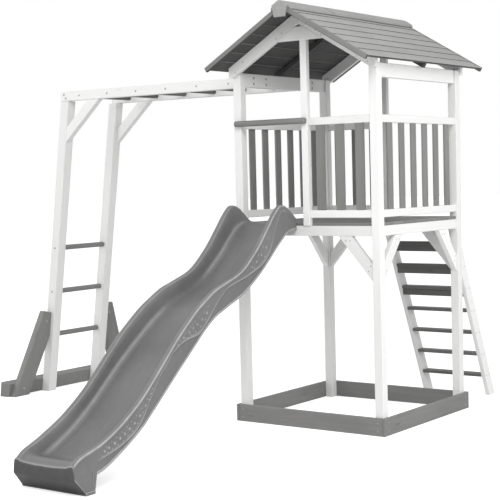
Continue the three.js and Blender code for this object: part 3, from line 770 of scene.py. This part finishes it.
def rim_rows(rim, floor):
    """Over the rim and down to the middle of the floor: (set back, height, edge, crease). Edge is pale lines
    of rubbed wear and painted highlight; crease is a painted highlight.
    """
    k = min(1.0, (rim - floor) / 0.060)
    rows = [(0.0004, rim - 0.0150, 0.0, 0), (0.0, rim - 0.0100, 0.2, 0), (0.0006, rim - 0.0050, 0.75, 0),
            (0.0026, rim - 0.0016, 0.85, 0), (0.0060, rim - 0.0001, 0.25, 0), (0.0095, rim, 0.10, 0),
            (0.0175, rim - 0.0004, 0.10, 0), (0.0255, rim - 0.0010, 0.10, 0), (0.0285, rim - 0.0024, 0.45, 0),
            (0.0305, rim - 0.0060 * k, 0.30, 0), (0.0325, rim - 0.0120 * k, 0.0, 0),
            (0.0370, rim - 0.0240 * k, 0, 0)]
    top, base = rim - 0.0240 * k, floor + 0.0200 * k
    rows += [(0.0370 + 0.0022 * i, top + (base - top) * i / 4, 0, 0) for i in range(1, 5)]
    return rows + [(0.0495, floor + 0.0115 * k, 0, 0.4), (0.0570, floor + 0.0050 * k, 0, 1.0),
                   (0.0660, floor + 0.0018 * k, 0, 0.5), (0.0900, floor - 0.0012, 0, 0),
                   (0.1400, floor - 0.0040, 0, 0), (SLIDE_HALF, floor - 0.0045, 0, 0)]


def slide_section(u):
    """Section from the lower left edge, over both rims, to the lower right edge: (point, edge, pebble)."""
    rim, floor, low = row_at(SLIDE_LINE, u)
    floor += (rim - 0.011 - floor) * smooth(u, 1.76, 1.93)
    low = lower_edge(u, low)
    # Painted highlight along the left inner crease, where the floor runs steep; it fades over the crests.
    lit = max(smooth(u, 0.04, 0.10) * smooth(u, 0.52, 0.40), smooth(u, 0.78, 0.90) * smooth(u, 1.80, 1.70))
    half = [(x, z, e, p, 0) for x, z, e, p in wall_rows(u, rim, low)]
    half += [(x, z, e, 0.0, crease) for x, z, e, crease in rim_rows(rim, floor)]
    left, right = [], []
    for back, z, edge, pebble, crease in half:
        out = SLIDE_HALF - back
        out -= lean_in(u, z) * out / SLIDE_HALF
        # Only the left wall gets the painted crease highlight.
        left.append((Vector((SLIDE_X - out, -HALF_Y - u, z)), max(edge, 0.5 * crease * lit), pebble))
        shift = narrowing(u) * (1.0 if out else 0.5)
        right.append((Vector((SLIDE_X + out - shift, -HALF_Y - u, z)), edge, pebble))
    left[-1] = right.pop()
    return left + right[::-1]


def slide_distances():
    """Where the sections are taken: closer together where the lower edge turns down."""
    turn = [1.780 + 0.0025 * i for i in range(17)]
    before = [0.002 + (turn[0] - 0.002) * i / 236 for i in range(236)]
    last = LIP_U - LIP_ROUND
    after = [turn[-1] + (last - turn[-1]) * i / 16 for i in range(1, 17)]
    return before + turn + after


def front_rows(top):
    """From a point of the last section: rounded over the lip, down, and back to the ground."""
    rows = []
    for k in range(1, 6):
        a = math.pi / 2 * k / 5
        rows.append((LIP_U - LIP_ROUND + LIP_ROUND * math.sin(a), top - LIP_ROUND * (1 - math.cos(a))))
    knee = FOOT_KNEE_Z
    rows += [(LIP_U, top - LIP_ROUND + (knee - top + LIP_ROUND) * k / 2) for k in (1, 2)]
    rows += [(LIP_U + (FOOT_U - LIP_U) * k / 6, knee * (1 - k / 6)) for k in range(1, 7)]
    return rows


def slide_front(bm, ring, grid, edge, painted_shade):
    """Closes the low end under the lip. Its front face gets painted shade, the roll of the lip a painted
    highlight.
    """
    first = WALL_POINTS + 1
    last = len(ring) - 1 - first
    columns = []
    for j in range(first, last + 1):
        start = ring[j][0]
        wide = (start.x - SLIDE_X) / (1 - lean_in(1.93, start.z) / SLIDE_HALF)
        column = [grid[-1][j]]
        for k, (u, z) in enumerate(front_rows(start.z)):
            x = SLIDE_X + wide * (1 - lean_in(1.93, z) / SLIDE_HALF)
            v = bm.verts.new((x, -HALF_Y - u, z))
            # Painted highlight on the roll of the lip, painted shade down the front face.
            v[edge] = 0.45 if k in (1, 2) else 0.0
            v[painted_shade] = 1.0 if k > 4 else 0.25 * k
            column.append(v)
        columns.append(column)
    for a, b in zip(columns, columns[1:]):
        for k in range(len(a) - 1):
            bm.faces.new((a[k], a[k + 1], b[k + 1], b[k]))
    bm.faces.new(grid[-1][:first + 1] + columns[0][1:KNEE_ROW + 1])
    bm.faces.new(grid[-1][last:][::-1] + columns[-1][1:KNEE_ROW + 1])


def slide_body():
    """The moulded chute: its outer skin drawn along the line, closed by an inner skin a wall thinner."""
    bm = bmesh.new()
    layers = bm.verts.layers.float
    for name in ("edge", "pebble", "painted_shade"):
        layers.new(name)
    edge, pebble, painted_shade = layers["edge"], layers["pebble"], layers["painted_shade"]
    grid, ring = [], []
    for u in slide_distances():
        ring = slide_section(u)
        row = []
        for place, worn_and_highlit, rough in ring:
            v = bm.verts.new(place)
            v[edge], v[pebble] = worn_and_highlit, rough
            row.append(v)
        grid.append(row)
    for a, b in zip(grid, grid[1:]):
        for j in range(len(a) - 1):
            bm.faces.new((a[j], a[j + 1], b[j + 1], b[j]))
    slide_front(bm, ring, grid, edge, painted_shade)
    bmesh.ops.recalc_face_normals(bm, faces=bm.faces)
    middle = [f for f in bm.faces if abs(f.calc_center_median().x - SLIDE_X) < 0.05]
    if sum(f.normal.z for f in middle) < 0:
        bmesh.ops.reverse_faces(bm, faces=bm.faces)
    for e in bm.edges:
        e.smooth = e.calc_face_angle(0) < math.radians(50)
    mesh = bpy.data.meshes.new("slide_chute")
    bm.transform(Matrix.Translation(ORIGIN))
    bm.to_mesh(mesh)
    bm.free()
    mesh.polygons.foreach_set("use_smooth", [True] * len(mesh.polygons))
    mesh.materials.append(PLASTIC)
    obj = bpy.data.objects.new("slide_chute", mesh)
    collection.objects.link(obj)
    wall = obj.modifiers.new("wall", "SOLIDIFY")
    wall.thickness = 0.0055
    wall.offset = -1
    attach(obj, "root")
    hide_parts("slide")


def slide_foot():
    """Flange that stands on the ground, back wall of the foot, and tongue lying on the deck beam."""
    x0, x1 = SLIDE_X - SLIDE_HALF, SLIDE_X + SLIDE_HALF
    foot = Piece("slide_foot")
    back = -HALF_Y - FOOT_BACK_U
    block(foot, x0 - 0.004, x1 + 0.004, -HALF_Y - FOOT_U - 0.006, back, 0, 0.018, X, 0.004)
    block(foot, x0 + 0.004, x1 - 0.004, back - 0.007, back - 0.0005, 0.010, 0.100, X, 0.001)
    foot.make(PLASTIC, ["slide"], "slide_plastic")
    tongue = Piece("slide_tongue")
    top = BEAM_TOP + FIT + 0.018
    block(tongue, x0 + 0.050, x1 - 0.092, -HALF_Y - 0.012, -HALF_Y + 0.031, BEAM_TOP + FIT, top, X, 0.0025)
    tongue.make(PLASTIC, ["slide"], "slide_plastic")
    for x in (-0.12, 0.0, 0.12):
        bolt((SLIDE_X - 0.021 + x, -HALF_Y + 0.014, top), Z, 0.008)


def slide_pips():
    """Moulded pips in a row above the wave, on both side walls."""
    piece = Piece("slide_pips")
    local = random.Random(21)
    for sx in (-1, 1):
        for u in SLIDE_PIPS:
            rim, floor, low = row_at(SLIDE_LINE, u)
            wave = wave_height(u, rim, low)
            room = rim - 0.020 - wave
            slope = (row_at(SLIDE_LINE, u + 0.01)[0] - rim) / 0.01
            for ahead, share, size in ((0.0, 0.50, 1.0), (0.017, 0.26, 0.6), (-0.015, 0.76, 0.5)):
                radius = min((0.0066 + 0.0022 * local.random()) * size, room * 0.24)
                place = u + ahead + 0.006 * (local.random() - 0.5)
                z = wave + room * share + slope * ahead
                x = SLIDE_X + sx * (SLIDE_HALF - 0.0022) - (narrowing(place) if sx > 0 else 0.0)
                at = Vector((x - sx * lean_in(place, z), -HALF_Y - place, z))
                rings = [(0.0, radius, 0.1)]
                for k in range(1, 5):
                    a = math.pi / 2 * k / 5
                    rings.append((0.0006 + 0.0015 * math.sin(a), radius * math.cos(a), 0.2 + 0.13 * k))
                lathe(piece, at, at + X * sx, rings, 14, 0.5)
    piece.make(PLASTIC, ["slide"], "slide_plastic", weighted=False)


# ---------------------------------------------------------------- ladder

LEAN = math.radians(24)


def ladder_front(z):
    return MID_Y + RAIL_T / 2 + FIT + (BEAM_Z - z) * math.tan(LEAN)


def ladder():
    depth = 0.075 / math.cos(LEAN)
    face = MID_Y + RAIL_T / 2 + FIT
    t, left, right = 0.028, -0.055, 0.404
    side = [(ladder_front(0), 0), (ladder_front(0) + depth, 0),
            (ladder_front(BEAM_TOP) + depth, BEAM_TOP), (face, BEAM_TOP), (face, BEAM_Z)]
    for name, x in (("left", left), ("right", right)):
        piece = Piece(f"ladder_stringer_{name}_timber")
        profile_x(piece, side, x, x + t, Vector((0, -math.sin(LEAN), math.cos(LEAN))))
        piece.make(WHITE, [f"ladder_stringer_{name}"], "white_timber")
    x0, x1 = left + t + FIT, right - FIT
    rise = BEAM_TOP / 8
    for i in range(1, 8):
        top = i * rise
        y = ladder_front(top) + 0.004
        piece = Piece(f"ladder_tread_{i}_board")
        block(piece, x0, x1, y, y + 0.076, top - 0.020, top, X, 0.004)
        if i >= 5:
            block(piece, x0, x1, y + 0.012, y + 0.030, top - 0.062, top - 0.0202, X, 0.0025)
        # Tread in grey stain darkened with painted shade.
        piece.make(GREY_PAINTED_SHADE, [f"ladder_tread_{i}"], "grey_timber")
        for k in (0.020, 0.056):
            screw((left, y + k, top - 0.010), (-1, 0, 0))
            screw((right + t, y + k, top - 0.010), (1, 0, 0))


# ---------------------------------------------------------------- climbing frame

CLIMB_HALF, CLIMB_POST, CLIMB_FOOT_X, CLIMB_LEAN = 0.280, 0.072, -2.414, 0.139
CLIMB_BEAM_H, CLIMB_BEAM_T = 0.064, 0.044
CLIMB_BEAM_Z = roof_line(EAVE_X) - 0.007 - CLIMB_BEAM_H


def post_right(z):
    return CLIMB_FOOT_X + CLIMB_POST + CLIMB_LEAN * z


def climbing_beams():
    left = CLIMB_FOOT_X + CLIMB_LEAN * CLIMB_BEAM_Z
    right = -MID_X - RAIL_T / 2 - FIT
    out, inner = 0.280, 0.178

    def face(drop):
        return post_right(CLIMB_BEAM_Z - drop) + FIT

    brace = [(face(out), CLIMB_BEAM_Z - out), (face(0) + out, CLIMB_BEAM_Z - FIT),
             (face(0) + inner, CLIMB_BEAM_Z - FIT), (face(inner), CLIMB_BEAM_Z - inner)]
    for end, sy in (("front", -1), ("back", 1)):
        y0, y1 = sorted((sy * CLIMB_HALF, sy * (CLIMB_HALF - CLIMB_BEAM_T)))
        beam_piece = Piece(f"climbing_beam_{end}_timber")
        block(beam_piece, left, right, y0, y1, CLIMB_BEAM_Z, CLIMB_BEAM_Z + CLIMB_BEAM_H, X, 0.004)
        beam_piece.make(WHITE, [f"climbing_beam_{end}"], "white_timber")
        brace_piece = Piece(f"climbing_brace_{end}_timber")
        profile_y(brace_piece, brace, y0, y1, Vector((1, 0, 1)))
        brace_piece.make(WHITE, [f"climbing_beam_{end}"], "white_timber")
        z = CLIMB_BEAM_Z + CLIMB_BEAM_H / 2
        for i in range(6):
            bolt((-0.695 - i * 0.2535, sy * CLIMB_HALF, z), (0, sy, 0), 0.0065)
            bolt((-0.695 - i * 0.2535, sy * (CLIMB_HALF - CLIMB_BEAM_T), z), (0, -sy, 0), 0.004)
        bolt((left + 0.030, sy * CLIMB_HALF, z + 0.012), (0, sy, 0), 0.0075)
        bolt((left + 0.048, sy * CLIMB_HALF, z - 0.014), (0, sy, 0), 0.0075)


def climbing_posts():
    x, h = CLIMB_FOOT_X, CLIMB_BEAM_Z - FIT
    dx = CLIMB_LEAN * h
    outline = [(x, 0), (x + CLIMB_POST, 0), (x + CLIMB_POST + dx, h), (x + dx, h)]
    for end, y0 in (("front", -CLIMB_HALF), ("back", CLIMB_HALF - CLIMB_POST)):
        piece = Piece(f"climbing_post_{end}_timber")
        profile_y(piece, outline, y0, y0 + CLIMB_POST, Vector((CLIMB_LEAN, 0, 1)), 0.005)
        piece.make(WHITE, [f"climbing_post_{end}"], "white_timber")


def rungs():
    over = CLIMB_HALF - CLIMB_BEAM_T - FIT
    z = CLIMB_BEAM_Z + CLIMB_BEAM_H / 2
    for i in range(6):
        piece = Piece(f"overhead_rung_{i + 1}_bar")
        x = -0.695 - i * 0.2535
        round_bar(piece, (x, -over, z), (x, over, z), 0.0175)
        # Overhead rung in grey stain darkened with painted shade.
        piece.make(GREY_PAINTED_SHADE, [f"overhead_rung_{i + 1}"], "grey_timber", weighted=False)
    low = CLIMB_HALF - CLIMB_POST - FIT
    for i, height in enumerate((0.400, 0.705, 1.010)):
        piece = Piece(f"end_rung_{i + 1}_bar")
        x = CLIMB_FOOT_X + CLIMB_POST / 2 + CLIMB_LEAN * height
        round_bar(piece, (x, -low, height), (x, low, height), 0.0175)
        piece.make(GREY, [f"end_rung_{i + 1}"], "grey_timber", weighted=False)
        for sy in (-1, 1):
            bolt((x, sy * CLIMB_HALF, height), (0, sy, 0), 0.0075)


def base_frame():
    w, h = 0.080, 0.090
    x1 = CLIMB_FOOT_X - FIT
    x0 = x1 - w
    dx = CLIMB_LEAN * h
    piece = Piece("base_frame_beam")
    outline = [(x0, 0), (x1, 0), (x1 + dx, h), (x0 + dx, h + w * CLIMB_LEAN)]
    profile_y(piece, outline, -0.600, 0.600, Y, 0.004)
    piece.make(GREY, ["base_frame"], "grey_timber")
    boards = Piece("base_frame_boards")
    face = CLIMB_HALF + FIT
    for sy in (-1, 1):
        points = [(0.585, 0), (0.445, 0), (face, 0.400), (face, 0.560), (0.350, 0.576)]
        bm = prism([Vector((x1 + 0.0004, sy * y, z)) for y, z in points], Vector((0.046, 0, 0)))
        for v in bm.verts:
            v.co.x += CLIMB_LEAN * v.co.z
        boards.solid(bm, Vector((CLIMB_LEAN * 0.56, -sy * 0.235, 0.56)), X, 0.003)
        bolt((x1 + 0.046 + CLIMB_LEAN * 0.05, sy * 0.500, 0.050), (1, 0, 0), 0.0075)
        bolt((x1 + 0.046 + CLIMB_LEAN * 0.50, sy * 0.322, 0.500), (1, 0, 0), 0.0075)
    boards.make(GREY, ["base_frame"], "grey_timber")


# ---------------------------------------------------------------- set

def camera():
    data = bpy.data.cameras.new("camera")
    obj = bpy.data.objects.new("camera", data)
    collection.objects.link(obj)
    forward = Vector((-0.5888934, 0.80614776, -0.05770922))
    right = Vector((0.80809639, 0.58850814, -0.02526649))
    up = Vector((-0.01359382, 0.06151389, 0.99801365))
    matrix = Matrix((right, up, -forward)).transposed().to_4x4()
    matrix.translation = ORIGIN + Vector((4.14245, -6.71754, 1.48045))
    obj.matrix_world = matrix
    data.sensor_width = 36
    data.lens = 93.015
    data.clip_end = 100
    bpy.context.scene.camera = obj


def area_light(name, place, target, size, power):
    data = bpy.data.lights.new(name, "AREA")
    data.shape = "DISK"
    data.size = size
    data.energy = power
    obj = bpy.data.objects.new(name, data)
    collection.objects.link(obj)
    obj.location = place
    obj.rotation_euler = (Vector(target) - Vector(place)).to_track_quat("-Z", "Y").to_euler()


def floor_material():
    """Pale matt ground. The camera sees it as white wherever no shadow falls."""
    n = Nodes("floor")
    place = n.add("NewGeometry").outputs["Position"]
    speckle = n.noise(place, 3.0, 2.0)
    color = n.mix(n.ramp(speckle, 0.3, 0.7), (0.86, 0.86, 0.86, 1), (0.87, 0.87, 0.87, 1))
    seen = n.add("LightPath").outputs["Is Camera Ray"]
    n.put(n.shader.inputs["Emission Color"], (1, 1, 1, 1))
    n.put(n.shader.inputs["Emission Strength"], n.math("MULTIPLY", seen, 0.56))
    return n.finish(color, 0.9, n.bump(speckle, 0.02, 0.001))


def studio():
    mesh = bpy.data.meshes.new("floor")
    r = 60.0
    mesh.from_pydata([(-r, -r, 0), (r, -r, 0), (r, r, 0), (-r, r, 0)], [], [(0, 1, 2, 3)])
    obj = bpy.data.objects.new("floor", mesh)
    collection.objects.link(obj)
    mesh.materials.append(floor_material())
    world = bpy.data.worlds.new("studio")
    bpy.context.scene.world = world
    world.use_nodes = True
    tree = world.node_tree
    out = tree.nodes["World Output"]
    lit = tree.nodes["Background"]
    lit.inputs[0].default_value = (1, 1, 1, 1)
    lit.inputs[1].default_value = 0.62
    seen = tree.nodes.new("ShaderNodeBackground")
    seen.inputs[0].default_value = (1, 1, 1, 1)
    seen.inputs[1].default_value = 1.0
    path = tree.nodes.new("ShaderNodeLightPath")
    most = tree.nodes.new("ShaderNodeMath")
    most.operation = "MAXIMUM"
    tree.links.new(path.outputs["Is Camera Ray"], most.inputs[0])
    tree.links.new(path.outputs["Is Glossy Ray"], most.inputs[1])
    mix = tree.nodes.new("ShaderNodeMixShader")
    tree.links.new(most.outputs[0], mix.inputs[0])
    tree.links.new(lit.outputs[0], mix.inputs[1])
    tree.links.new(seen.outputs[0], mix.inputs[2])
    tree.links.new(mix.outputs[0], out.inputs[0])
    area_light("key", (4.6, -4.2, 5.2), (0.3, 0.2, 1.0), 3.5, 250)
    area_light("side", (6.6, 0.6, 2.4), (0.8, 0.7, 1.3), 3.0, 75)
    area_light("fill", (-4.8, -3.2, 3.6), (0.0, 0.0, 1.0), 4.0, 90)
    bpy.context.scene.view_settings.view_transform = "Standard"


camera()
studio()
corner_posts()
mid_posts()
deck_beams()
knee_braces()
sandbox()
balustrades()
handrail()
deck()
top_beams()
gable_frames()
roof()
ridge_cap()
slide_body()
slide_foot()
slide_pips()
ladder()
climbing_beams()
climbing_posts()
rungs()
base_frame()
SCREWS.make(ZINC, weighted=False)
BOLTS.make(ZINC, weighted=False)
